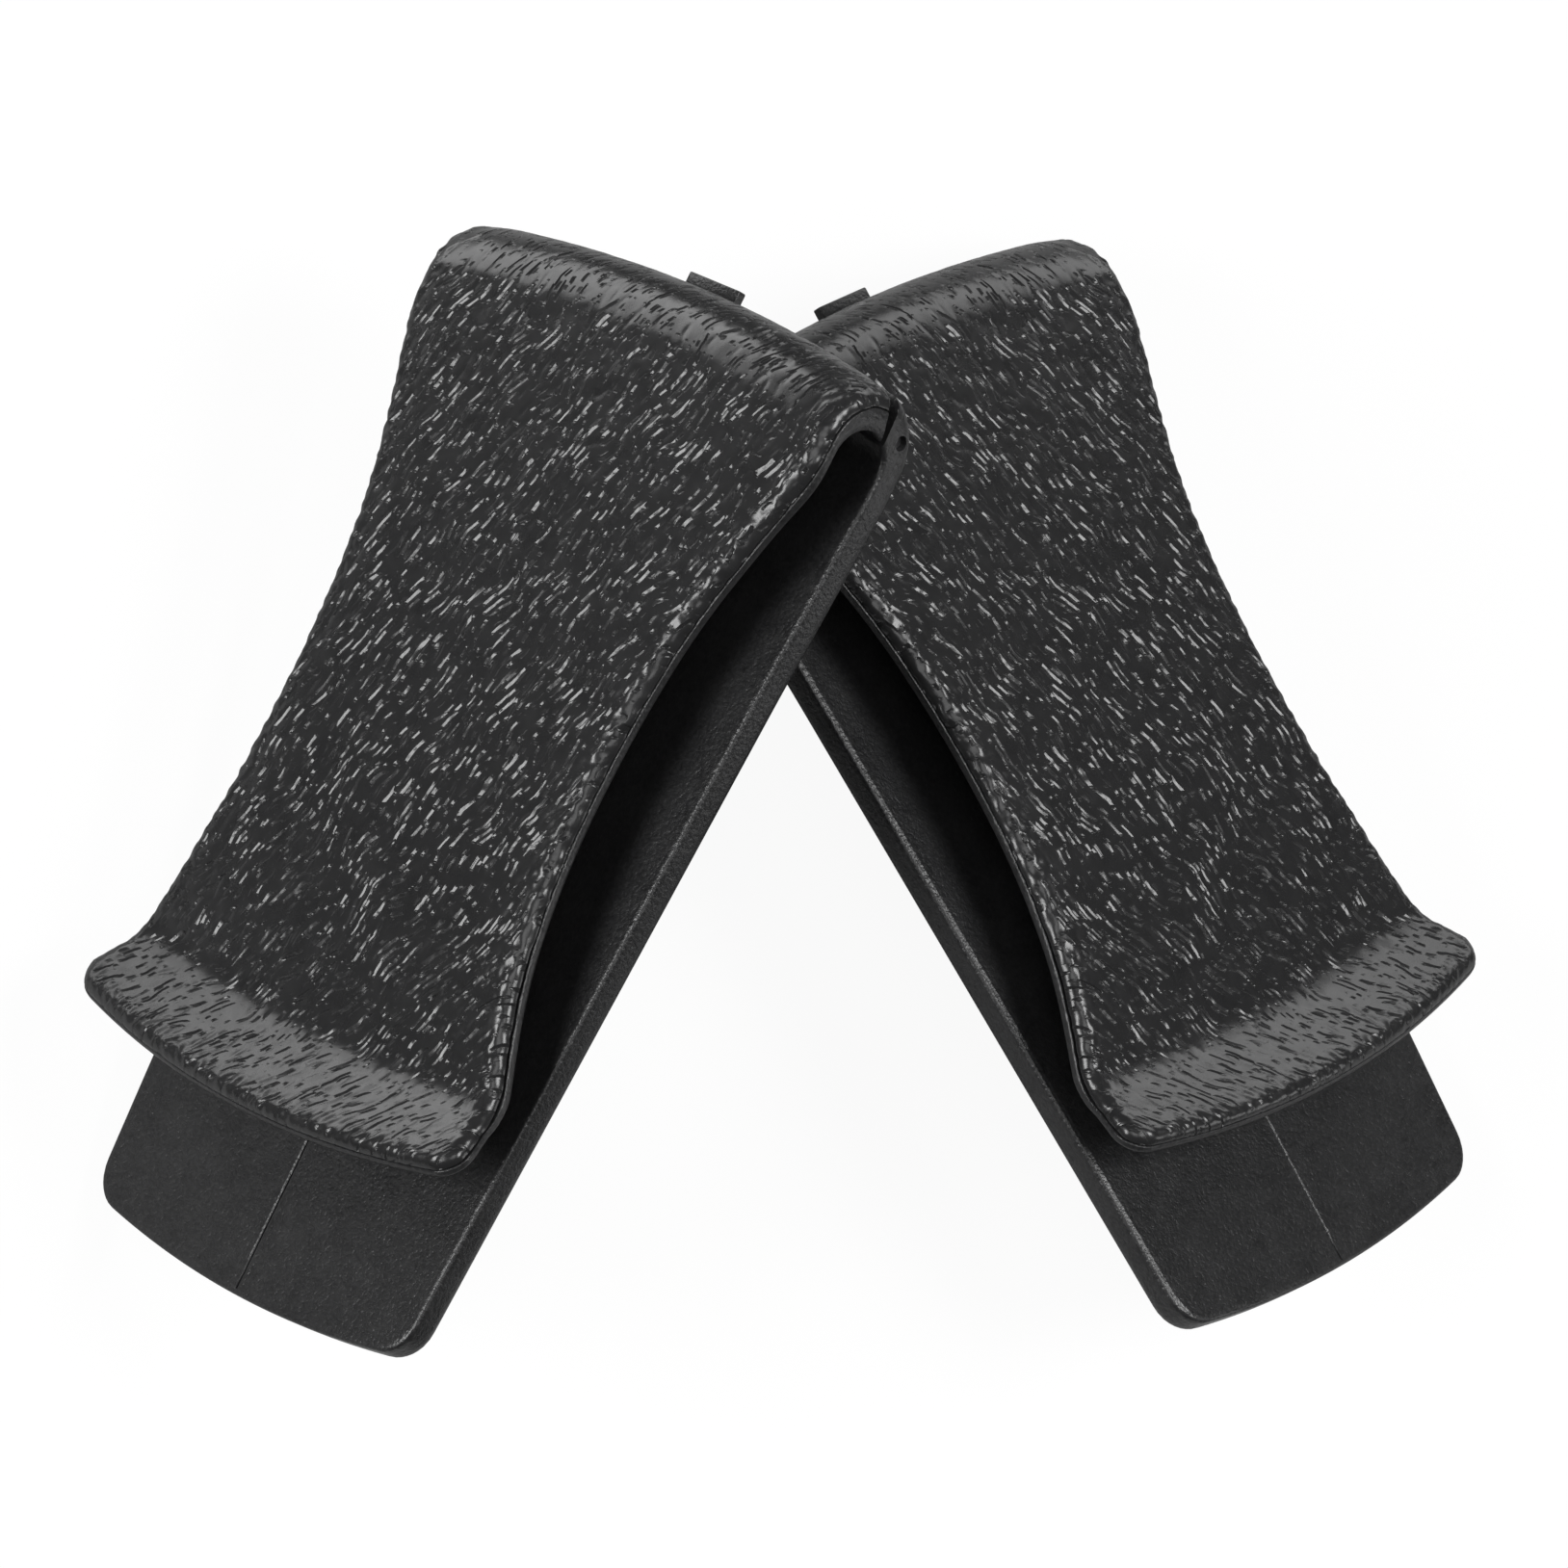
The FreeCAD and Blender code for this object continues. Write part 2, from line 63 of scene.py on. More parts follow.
# Crown, layers and mouth
CLIP_HEIGHT = 74.4
HALF_CROWN = 20.0
CROWN_RISE = 1.6
COVER_THICK = 1.2
LINER_THICK = 0.7
MOUTH = 4.8
PLATE_THICK = 2.5
COVER_FRONT = -(MOUTH + LINER_THICK + COVER_THICK)
FOLD_R = (PLATE_THICK - COVER_FRONT) / 2
FOLD_Y = (PLATE_THICK + COVER_FRONT) / 2
FOLD_Z = CLIP_HEIGHT - FOLD_R
MOUTH_R = MOUTH / 2
MOUTH_ROOF = 2.9
MOUTH_Z = CLIP_HEIGHT - MOUTH_ROOF - MOUTH_R
MOUTH_BLEND = 8.0
SEAM_Y = -1.9
NOSE_Y = -1.1
ROOF_END_Y = -1.3
NOSE_FOOT_Y = -0.9
PIN_Y = 0.55
PIN_Z = 70.2
ARCH_R = (HALF_CROWN**2 + CROWN_RISE**2) / (2 * CROWN_RISE)
ARCH_Z = CLIP_HEIGHT - ARCH_R
ARCH_START, ARCH_FULL = 50, 62

# Side line of the arm
BOW_Z = 38.0
THROAT_Z = 19.5
THROAT_INSET = 1.4
BEND_R = 4.0
FLARE = math.radians(30)
FLARE_RUN = 9
ARM_STEP = 0.25
ARC_STATIONS = 60
FLARE_STATIONS = 40

# Front outlines of the arm and of the rear plate
LIP_HALF = 18.7
LIP_Z = 12.25
LIP_SWEEP = 80.0
LIP_CORNER = 2.2
LIP_SAG = 1.2
SAG_FULL, SAG_END = 20, 30
SHOULDER_Z = 67.0
SHOULDER_BLEND = 1.3
WAIST_R = 74.0
WAIST_STEP = 0.1
WAIST_STEPS = 900
KERNEL_REACH = 40
FOOT_HALF = 16.1
FOOT_SWEEP = 80.0
FOOT_CORNER = 2.3
TAPER_Z = 67.6
OUTLINE_ROUNDS = 7
PILLOW_FADE = 6


def smooth(value, low, high):
    t = np.clip((np.asarray(value, float) - low) / (high - low), 0, 1)
    return t * t * (3 - 2 * t)


# ---------------------------------------------------------------------------
# Side profiles, by distance s along the outer face from the crown's seam
# ---------------------------------------------------------------------------

def arm_table():
    """Outer side line of the arm below the crown: length, y, z and outward lean."""
    run = BOW_Z - THROAT_Z
    bow_r = (run**2 + THROAT_INSET**2) / (2 * THROAT_INSET)
    lean = math.asin(run / bow_r)
    line = [(COVER_FRONT, z, 0) for z in np.arange(FOLD_Z, BOW_Z, -ARM_STEP)]
    for a in np.linspace(0, lean, ARC_STATIONS):
        line.append((COVER_FRONT + bow_r * (1 - math.cos(a)), BOW_Z - bow_r * math.sin(a), 0))
    y, z, _ = line[-1]
    for a in np.linspace(lean, -FLARE, ARC_STATIONS)[1:]:
        step_y, step_z = math.cos(a) - math.cos(lean), math.sin(lean) - math.sin(a)
        line.append((y + BEND_R * step_y, z - BEND_R * step_z, max(0, -a)))
    y, z, _ = line[-1]
    for step in np.linspace(0, FLARE_RUN, FLARE_STATIONS)[1:]:
        line.append((y - step * math.sin(FLARE), z - step * math.cos(FLARE), FLARE))
    line = np.array(line)
    length = np.r_[0, np.cumsum(np.hypot(*np.diff(line[:, :2], axis=0).T))]
    return length, line[:, 0], line[:, 1], line[:, 2]


ARM_S, ARM_Y, ARM_Z, ARM_LEAN = arm_table()
SEAM_ANGLE = -math.asin((SEAM_Y - FOLD_Y) / FOLD_R)
CROWN_RUN = FOLD_R * (math.pi / 2 - SEAM_ANGLE)


def arm_layer(depth):
    """The arm's section at a depth under the cover's face."""
    def points(s):
        angle = SEAM_ANGLE + s / FOLD_R
        along = s - CROWN_RUN
        crown = s < CROWN_RUN
        lean = np.interp(along, ARM_S, ARM_LEAN)
        arm_y = np.interp(along, ARM_S, ARM_Y) + depth * np.cos(lean)**2
        arm_z = np.interp(along, ARM_S, ARM_Z) - depth * np.cos(lean) * np.sin(lean)
        y = np.where(crown, FOLD_Y - (FOLD_R - depth) * np.sin(angle), arm_y)
        z = np.where(crown, FOLD_Z + (FOLD_R - depth) * np.cos(angle), arm_z)
        return y, z
    return points


def face_height(s):
    """Height of the cover's face at a distance from the seam."""
    return arm_layer(0.0)(s)[1]


def lower_to_mouth(z):
    """Bring heights near the fold down to the round top of the mouth."""
    return z - (FOLD_Z - MOUTH_Z) * (1 - smooth(FOLD_Z - z, 0, MOUTH_BLEND))


def mouth_front(s):
    """The liner's inner face: round the top of the mouth, then down the arm."""
    first = -math.asin((ROOF_END_Y + MOUTH_R) / MOUTH_R)
    angle = first + (math.pi / 2 - first) * s / CROWN_RUN
    y, z = arm_layer(COVER_THICK + LINER_THICK)(s)
    crown = s < CROWN_RUN
    y = np.where(crown, -MOUTH_R - MOUTH_R * np.sin(angle), y)
    return y, np.where(crown, MOUTH_Z + MOUTH_R * np.cos(angle), lower_to_mouth(z))


def arm_at_height(z):
    """Distance from the seam at which the arm reaches a height."""
    return CROWN_RUN + np.interp(-z, -ARM_Z, ARM_S)


NOSE_ANGLE = math.acos((NOSE_Y - FOLD_Y) / FOLD_R)
NOSE_RUN = FOLD_R * NOSE_ANGLE


def plate_back(s):
    """The rear plate's outer face: round the knuckle, then down the back."""
    angle = NOSE_ANGLE - s / FOLD_R
    crown = s < NOSE_RUN
    y = np.where(crown, FOLD_Y + FOLD_R * np.cos(angle), PLATE_THICK)
    return y, np.where(crown, FOLD_Z + FOLD_R * np.sin(angle), FOLD_Z - (s - NOSE_RUN))


def plate_face(s):
    """The rear plate's face in the mouth."""
    first = math.acos((NOSE_FOOT_Y + MOUTH_R) / MOUTH_R)
    angle = first * (1 - s / NOSE_RUN)
    crown = s < NOSE_RUN
    y = np.where(crown, -MOUTH_R + MOUTH_R * np.cos(angle), 0.0)
    z = FOLD_Z - (s - NOSE_RUN)
    return y, np.where(crown, MOUTH_Z + MOUTH_R * np.sin(angle), lower_to_mouth(z))


def plate_at_height(z):
    return NOSE_RUN + FOLD_Z - z


# ---------------------------------------------------------------------------
# Front outlines
# ---------------------------------------------------------------------------

def corner_height(end_z, sweep, corner, half):
    """Height of the centre of a rounded corner at a swept end."""
    return end_z + sweep - math.sqrt((sweep - corner)**2 - (half - corner)**2)


def waist_table():
    """Half width of the arm by height, with its shoulder softened."""
    corner_z = corner_height(LIP_Z, LIP_SWEEP, LIP_CORNER, LIP_HALF)
    low, high = np.array((LIP_HALF, corner_z)), np.array((HALF_CROWN, SHOULDER_Z))
    chord = high - low
    half = np.hypot(*chord) / 2
    away = np.array((chord[1], -chord[0])) / (2 * half)
    centre = (low + high) / 2 + away * math.sqrt(WAIST_R**2 - half**2)
    z = np.arange(WAIST_STEPS) * WAIST_STEP
    x = centre[0] - np.sqrt(WAIST_R**2 - (z - centre[1])**2)
    x = np.where(z > SHOULDER_Z, HALF_CROWN, x)
    kernel = np.arange(-KERNEL_REACH, KERNEL_REACH + 1) * WAIST_STEP / SHOULDER_BLEND
    kernel = np.exp(-0.5 * kernel**2)
    softened = np.convolve(np.pad(x, KERNEL_REACH, mode="edge"), kernel / kernel.sum(), mode="valid")
    return z, softened


WAIST_Z, WAIST_X = waist_table()


def arm_half(z):
    return np.interp(z, WAIST_Z, WAIST_X)


def arm_end(x):
    return LIP_Z + LIP_SWEEP - np.sqrt(LIP_SWEEP**2 - x**2) - LIP_SAG * (x / LIP_HALF)**2


def plate_half(z):
    corner_z = corner_height(0, FOOT_SWEEP, FOOT_CORNER, FOOT_HALF)
    return FOOT_HALF + (HALF_CROWN - FOOT_HALF) * np.clip((z - corner_z) / (TAPER_Z - corner_z), 0, 1)


def plate_end(x):
    return FOOT_SWEEP - np.sqrt(FOOT_SWEEP**2 - x**2)


# ---------------------------------------------------------------------------
# Closed shell between two side profiles, trimmed to a front outline
# ---------------------------------------------------------------------------

def spread(count, length, ends):
    """Fractions from 0 to 1 with extra stations at both ends, given in mm."""
    ends = np.array(ends) / length
    inner = np.linspace(ends[-1], 1 - ends[-1], count)
    return np.r_[ends[:-1], inner, 1 - ends[:-1][::-1]]


def lay_out(f, g, form, grow=0.0, start=0.0, ragged=None):
    """Flat place (x, s) of each grid station and its distance to the edge."""
    corner = form["corner"]
    x = f * form["width"]
    s = start + g * form["length"]
    for _ in range(OUTLINE_ROUNDS):
        half = form["half"](form["height"](s)) + grow
        if ragged is not None:
            half = half - ragged(s, np.sign(f))
        end = form["at_height"](form["end"](x) - grow)
        s = start + g * (end - start)
        q = end - s
        inset = np.where(q < corner, corner - np.sqrt(np.maximum(corner**2 - (corner - q)**2, 0)), 0)
        x = f * (half - inset)
    side = half - np.abs(x)
    diagonal = corner - np.hypot(corner - side, corner - q)
    edge = np.where((q < corner) & (side < corner), diagonal, np.minimum(side, q))
    return x, s, np.maximum(edge, 0)


def settle(x, z, form):
    """Bend a flat place to the crown's arch and the lip's sag."""
    drop = (z - ARCH_Z) - np.sqrt((z - ARCH_Z)**2 - x**2)
    z = z - smooth(z, ARCH_START, ARCH_FULL) * drop
    return z + form["sag"] * (1 - smooth(z, SAG_FULL, SAG_END)) * (x / LIP_HALF)**2


def place(x, s, depth, form, raised=0.0):
    """Points at a depth under the outer profile, less what the relief raises."""
    y0, z0 = form["outer"](s)
    y1, z1 = form["inner"](s)
    thick = np.hypot(y1 - y0, z1 - z0)
    part = (depth - raised) / thick
    y = y0 + (y1 - y0) * part
    z = z0 + (z1 - z0) * part
    return np.stack([x, y, settle(x, z, form)], axis=-1)


def thickness(s, form):
    y0, z0 = form["outer"](s)
    y1, z1 = form["inner"](s)
    return np.hypot(y1 - y0, z1 - z0)


def rounding(edge, radius):
    """Depth of a quarter-round edge at a distance from it."""
    t = np.clip(radius - edge, 0, radius)
    return radius - np.sqrt(np.maximum(radius**2 - t**2, 0))


def front_sink(s, edge, form):
    """Depth of the outer face under its profile: rounded edges and the pillowed border."""
    radius, seam_radius = form["radius"], form["seam_radius"]
    sink = np.minimum(rounding(edge, radius) + rounding(s, seam_radius), max(radius, seam_radius))
    if "pillow" in form:
        height, reach, until = form["pillow"]
        sink = sink + height * (1 - smooth(edge, 0, reach)) * (1 - smooth(s, until - PILLOW_FADE, until))
    return sink


def rim_loop(m, n):
    """The grid stations round the edge, in order."""
    loop = [(0, i) for i in range(n + 1)] + [(j, n) for j in range(1, m + 1)]
    return loop + [(m, i) for i in range(n - 1, -1, -1)] + [(j, 0) for j in range(m - 1, 0, -1)]


def back_faces(m, n, rows, cols, vertex_at):
    """Faces of the inner side, whose coarser grid still meets every station of the rim."""
    faces = []
    for j0, j1 in zip(rows[:-1], rows[1:]):
        for i0, i1 in zip(cols[:-1], cols[1:]):
            ring = [(j0, i) for i in (range(i0, i1) if j0 == 0 else (i0,))]
            ring += [(j, i1) for j in (range(j0, j1) if i1 == n else (j0,))]
            ring += [(j1, i) for i in (range(i1, i0, -1) if j1 == m else (i1,))]
            ring += [(j, i0) for j in (range(j1, j0, -1) if i0 == 0 else (j1,))]
            faces.append([vertex_at[station] for station in reversed(ring)])
    return faces


def shell(form):
    """Vertices, faces and flat places of one closed piece in clip millimetres."""
    f_line, g_line = 2 * form["columns"] - 1, form["rows"]
    m, n = len(g_line) - 1, len(f_line) - 1
    f, g = np.meshgrid(f_line, g_line)
    x, s, edge = lay_out(f, g, form, ragged=form.get("ragged"))
    xi, si, _ = lay_out(
        f, g, form, grow=-form["inset"], start=form["seam_inset"], ragged=form.get("inner_ragged")
    )

    sink = front_sink(s, edge, form)
    raised = form["relief"](x, s, edge) if "relief" in form else 0.0
    verts = [place(x, s, sink, form, raised).reshape(-1, 3)]
    flats = [np.stack([x, s], axis=-1).reshape(-1, 2)]
    count = (m + 1) * (n + 1)

    loop = rim_loop(m, n)
    lj, li = np.array(loop).T
    x0, s0, x1, s1 = x[lj, li], s[lj, li], xi[lj, li], si[lj, li]
    rim, thick = sink[lj, li], thickness(s0, form)
    loops = [lj * (n + 1) + li]
    for move, deep in form["wall"]:
        xs, ss = x0 + (x1 - x0) * move, s0 + (s1 - s0) * move
        verts.append(place(xs, ss, rim + (thick - rim) * deep, form))
        flats.append(np.stack([xs, ss], axis=-1))
        loops.append(np.arange(count, count + len(loop)))
        count += len(loop)

    step = form["inner_step"]
    rows = sorted(set(range(0, m + 1, step)) | {m})
    cols = sorted(set(range(0, n + 1, step)) | {n})
    inner = [(j, i) for j in rows[1:-1] for i in cols[1:-1]]
    jj, ii = np.array(inner).T
    xs, ss = xi[jj, ii], si[jj, ii]
    lift = form["inner_relief"](xs, ss) if "inner_relief" in form else 0.0
    verts.append(place(xs, ss, thickness(ss, form) + lift, form))
    flats.append(np.stack([xs, ss], axis=-1))
    vertex_at = {station: int(k) for station, k in zip(loop, loops[-1])}
    vertex_at.update((station, count + k) for k, station in enumerate(inner))

    a = (np.arange(m)[:, None] * (n + 1) + np.arange(n)[None, :]).ravel()
    quads = [np.stack([a, a + 1, a + n + 2, a + n + 1], axis=1)]
    for upper, lower in zip(loops[:-1], loops[1:]):
        quads.append(np.stack([upper, lower, np.roll(lower, -1), np.roll(upper, -1)], axis=1))
    faces = np.concatenate(quads).tolist() + back_faces(m, n, rows, cols, vertex_at)
    if form["faces_front"]:
        faces = [face[::-1] for face in faces]
    return np.concatenate(verts), faces, np.concatenate(flats)


# ---------------------------------------------------------------------------
# Leather grain of the cover
# ---------------------------------------------------------------------------

def wave(seed, shortest, longest, count=14):
    """A smooth random line of about unit height, for places given in mm."""
    rng = np.random.default_rng(seed)
    lengths = np.exp(rng.uniform(math.log(shortest), math.log(longest), count))
    phases = rng.uniform(0, 2 * math.pi, count)
    scale = math.sqrt(count / 2)
    return lambda t: sum(np.sin(2 * math.pi * t / a + b) for a, b in zip(lengths, phases)) / scale


def drift(seed, size):
    """A smooth random field over the flat pattern, about -1 to 1."""
    rng = np.random.default_rng(seed)
    waves, count = [], 16
    for _ in range(count):
        turn, length = rng.uniform(0, 2 * math.pi), size * rng.uniform(0.7, 1.6)
        waves.append((math.cos(turn) / length, math.sin(turn) / length, rng.uniform(0, 2 * math.pi)))
    scale = math.sqrt(count / 2)
    return lambda x, s: sum(np.sin(2 * math.pi * (a * x + b * s) + c) for a, b, c in waves) / scale


# How far the strokes lean across, by distance along, and where the lip adds to it
STROKE_LEAN = 0.33
LIP_LEAN = 0.27
LIP_START = 49.0

# The raster that holds the pressed furrows: its cell, its half width, its first and last distance
RASTER = 0.06
RASTER_X = 21.5
RASTER_START = -1
RASTER_S = 68.0

# Families of furrows: pitch across and along, share of the places used, depth, and spread of the lean
FURROWS = ((0.95, 1.5, 0.5, 1.0, 11), (0.9, 1.2, 0.2, 0.38, 30))
FURROW_LEAN, FURROW_LIP_LEAN, FURROW_DRIFT = -18, -14, 11
SHOULDER_SHARE, PIT_SCALE = 0.14, 1.14


def stamp(field, x, s, turn, length, width, depth, bow):
    """Press one short furrow into the raster."""
    reach = length / 2 + 2.2 * width
    i0, i1 = int((x - reach + RASTER_X) / RASTER), int((x + reach + RASTER_X) / RASTER) + 1
    j0 = int((s - reach - RASTER_START) / RASTER)
    j1 = int((s + reach - RASTER_START) / RASTER) + 1
    i0, j0 = max(i0, 0), max(j0, 0)
    i1, j1 = min(i1, field.shape[1]), min(j1, field.shape[0])
    if i1 <= i0 or j1 <= j0:
        return
    px = np.arange(i0, i1) * RASTER - RASTER_X - x
    ps = (np.arange(j0, j1) * RASTER + RASTER_START - s)[:, None]
    along = ps * math.cos(turn) + px * math.sin(turn)
    across = px * math.cos(turn) - ps * math.sin(turn) - bow * (along**2 - (length / 2)**2)
    past = np.maximum(np.abs(along) - length * 0.3, 0) / (length * 0.2 + width)
    pit = np.exp(-(across / width)**2 - 1.6 * past**2)
    shoulder = SHOULDER_SHARE * np.exp(-(across / (2.3 * width))**2 - 1.6 * past**2)
    patch = field[j0:j1, i0:i1]
    np.maximum(patch, depth * (pit + shoulder) / PIT_SCALE, out=patch)


def grain_field(seed):
    """Depth of all pressed furrows over the flat pattern, in mm."""
    rng = np.random.default_rng(seed)
    shape = (int((RASTER_S - RASTER_START) / RASTER) + 1, int(2 * RASTER_X / RASTER) + 1)
    field = np.zeros(shape)
    flow, crowd = drift(seed + 1, 17), drift(seed + 2, 7)
    for pitch_x, pitch_s, share, deep, spread_deg in FURROWS:
        for s in np.arange(-0.5, RASTER_S - 1, pitch_s):
            for x in np.arange(-RASTER_X, RASTER_X, pitch_x):
                px, ps = x + rng.uniform(-0.5, 0.5) * pitch_x, s + rng.uniform(-0.5, 0.5) * pitch_s
                lean = FURROW_LEAN + FURROW_LIP_LEAN * float(smooth(ps, 45, 53))
                turn = math.radians(lean + FURROW_DRIFT * flow(px, ps) + rng.normal(0, spread_deg))
                length = 0.4 + rng.gamma(2.0, 0.36)
                width = rng.uniform(0.11, 0.155)
                depth = deep * rng.uniform(0.02, 0.055)
                bow = rng.normal(0, 0.10)
                if rng.uniform() < share * (0.86 + 0.3 * crowd(px, ps)):
                    stamp(field, px, ps, turn, length, width, depth, bow)
    return field


def read_field(field, x, s):
    """The raster's value at flat places, blended between its cells."""
    u = np.clip((x + RASTER_X) / RASTER, 0, field.shape[1] - 1.001)
    v = np.clip((s - RASTER_START) / RASTER, 0, field.shape[0] - 1.001)
    i, j = u.astype(int), v.astype(int)
    a, b = u - i, v - j
    upper = field[j, i] * (1 - a) + field[j, i + 1] * a
    lower = field[j + 1, i] * (1 - a) + field[j + 1, i + 1] * a
    return upper * (1 - b) + lower * b


GRAIN = grain_field(11)
SWELL = drift(23, 3.2)
FINE_SWELL = drift(29, 1.1)
EDGE_SWELL = drift(31, 0.9)


def grain(x, s, edge):
    """Height of the cover's leather grain over its smooth face, in mm."""
    warp_x = x + 0.10 * SWELL(s * 0.9, x * 0.9)
    warp_s = s + 0.10 * SWELL(x * 1.1 + 5, s * 1.1)
    pits = read_field(GRAIN, warp_x, warp_s)
    height = 0.005 * SWELL(x, s) + 0.003 * FINE_SWELL(x, s) - pits
    rough_edge = 0.03 * EDGE_SWELL(x, s) * (1 - smooth(edge, 0.6, 2.2))
    return height * (0.7 + 0.3 * smooth(edge, 0.0, 0.5)) + rough_edge


# ---------------------------------------------------------------------------
# The forms of one clip
# ---------------------------------------------------------------------------

ARM_LENGTH = float(arm_at_height(np.array(LIP_Z)))
PLATE_LENGTH = NOSE_RUN + FOLD_Z


def uneven(right, left, middle, swing, limits):
    """How far an edge stands back on each hand, in mm, by distance along."""
    return lambda s, hand: middle + swing * np.clip(np.where(hand > 0, right(s), left(s)), *limits)


COVER_EDGE = uneven(wave(5, 0.9, 5.0), wave(6, 0.9, 5.0), 0.05, 0.03, (-1.4, 1.4))
COVER_JOINT = uneven(wave(7, 0.6, 3.0), wave(8, 0.6, 3.0), 0.10, 0.17, (-1.2, 2.0))

GROOVE_HALF = 0.04
GROOVE_DEPTH = 0.30
MOULD_STEP = 0.03


# A form's wall lists (share of the way in to the inner outline, share of the thickness) per loop.

def cover_form():
    return {
        "columns": spread(292, 2 * HALF_CROWN, (0, 0.025, 0.08, 0.16, 0.27, 0.4)),
        "rows": spread(262, ARM_LENGTH, (0, 0.03, 0.1, 0.2, 0.34, 0.5)),
        "width": HALF_CROWN, "length": ARM_LENGTH, "corner": LIP_CORNER, "sag": LIP_SAG,
        "outer": arm_layer(0.0), "inner": arm_layer(COVER_THICK - 0.02),
        "half": arm_half, "end": arm_end, "at_height": arm_at_height, "height": face_height,
        "ragged": COVER_EDGE, "inner_ragged": COVER_JOINT,
        "radius": 0.92, "seam_radius": 0.3, "pillow": (0.17, 3.6, LIP_START + 2),
        "inset": 0.42, "seam_inset": 0.05, "relief": grain,
        "wall": ((0.0, 0.3), (0.25, 0.62), (0.7, 0.86), (1.0, 1.0)),
        "inner_step": 6, "faces_front": True,
    }


def liner_form():
    return {
        "columns": spread(74, 2 * HALF_CROWN, (0, 0.04, 0.12, 0.25, 0.5)),
        "rows": spread(150, ARM_LENGTH, (0, 0.05, 0.15, 0.35)),
        "width": HALF_CROWN, "length": ARM_LENGTH, "corner": LIP_CORNER, "sag": LIP_SAG,
        "outer": arm_layer(COVER_THICK + 0.01), "inner": mouth_front,
        "half": lambda z: arm_half(z) + 0.08, "end": lambda x: arm_end(x) - 0.04,
        "at_height": arm_at_height, "height": face_height,
        "radius": 0.1, "seam_radius": 0.05, "inset": 0.2, "seam_inset": 0.08,
        "wall": ((0.0, 0.55), (0.1, 0.8), (0.4, 0.94), (1.0, 1.0)),
        "inner_step": 1, "faces_front": True,
    }


def plate_form():
    def mould_line(x, s):
        """A small step and a groove where the mould's halves meet, along the middle of the face."""
        step = MOULD_STEP * smooth(-x, -GROOVE_HALF / 2, GROOVE_HALF)
        return step - GROOVE_DEPTH * np.clip(1 - np.abs(x) / GROOVE_HALF, 0, 1)

    width = 2 * HALF_CROWN
    columns = spread(70, width, (0, 0.06, 0.18, 0.35, 0.6, 0.9, 1.3))
    near = np.array((GROOVE_HALF / 2, GROOVE_HALF, 0.14, 0.3))
    middle = 0.5 + np.r_[-near[::-1], 0.0, near] / width
    columns = np.sort(np.r_[columns[np.abs(columns - 0.5) > 0.5 / width], middle])
    return {
        "columns": columns,
        "rows": spread(130, PLATE_LENGTH, (0, 0.06, 0.18, 0.35, 0.6, 0.9, 1.3)),
        "width": HALF_CROWN, "length": PLATE_LENGTH, "corner": FOOT_CORNER, "sag": 0.0,
        "outer": plate_back, "inner": plate_face,
        "half": plate_half, "end": plate_end, "at_height": plate_at_height,
        "height": lambda s: plate_back(s)[1],
        "radius": 1.0, "seam_radius": 0.15, "inset": 0.38, "seam_inset": 0.08,
        "inner_relief": mould_line,
        "wall": (
            (0.0, 0.25), (0.0, 0.6), (0.0, 0.8), (0.08, 0.89), (0.3, 0.962), (0.62, 0.992), (1.0, 1.0)
        ),
        "inner_step": 1, "faces_front": False,
    }


# ---------------------------------------------------------------------------
# From clip millimetres to objects in the frame
# ---------------------------------------------------------------------------

def clip_place(side):
    """Matrix from one clip's millimetres to the frame.

    The clip's hinge line and the flat back of its rear plate say where it is.
    """
    joint = next(j for j in frame["record"]["behaviour"]["joints"] if j["name"] == side + "_arm_hinge")
    across = -Vector(joint["axis"]).normalized()
    mesh = frame["nodes"][side + "_rear_plate"].data
    largest = max(mesh.polygons, key=lambda p: p.area)
    back = largest.normal.copy()
    cover_low, cover_high = (Vector(c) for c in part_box(side + "_grained_cover"))
    plate_low, plate_high = (Vector(c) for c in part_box(side + "_rear_plate"))
    if back.dot((plate_low + plate_high) - (cover_low + cover_high)) < 0:
        back.negate()
    back = (back - across * back.dot(across)).normalized()
    up = across.cross(back)
    turn = Matrix((across, back, up)).transposed()
    origin = Vector(joint["pos_m"]) - turn @ Vector((0, PIN_Y, PIN_Z)) * MM
    return Matrix.Translation(origin) @ turn.to_4x4() @ Matrix.Scale(MM, 4)


def new_object(name, verts, faces, matrix):
    verts = np.asarray(verts, float)
    m = np.array(matrix)
    verts = verts @ m[:3, :3].T + m[:3, 3]
    mesh = bpy.data.meshes.new(name)
    mesh.from_pydata(verts.tolist(), [], faces)
    mesh.update()
    obj = bpy.data.objects.new(name, mesh)
    bpy.context.scene.collection.objects.link(obj)
    return obj


def smooth_shade(obj, sharp=None):
    """Shade smooth, with edges sharper than an angle in degrees kept sharp."""
    obj.data.polygons.foreach_set("use_smooth", [True] * len(obj.data.polygons))
    if sharp is not None:
        obj.data.set_sharp_from_angle(angle=math.radians(sharp))
    obj.data.update()


def box_verts(low, high, bevel):
    """A box with rounded edges, as vertices and faces."""
    bm = bmesh.new()
    bmesh.ops.create_cube(bm, size=1)
    low, high = Vector(low), Vector(high)
    for v in bm.verts:
        v.co = Vector(((low[k] + high[k]) / 2 + v.co[k] * (high[k] - low[k]) for k in range(3)))
    bmesh.ops.bevel(bm, geom=bm.edges[:], offset=bevel, segments=3, profile=0.5, affect="EDGES")
    verts = [v.co[:] for v in bm.verts]
    faces = [[v.index for v in f.verts] for f in bm.faces]
    bm.free()
    return verts, faces


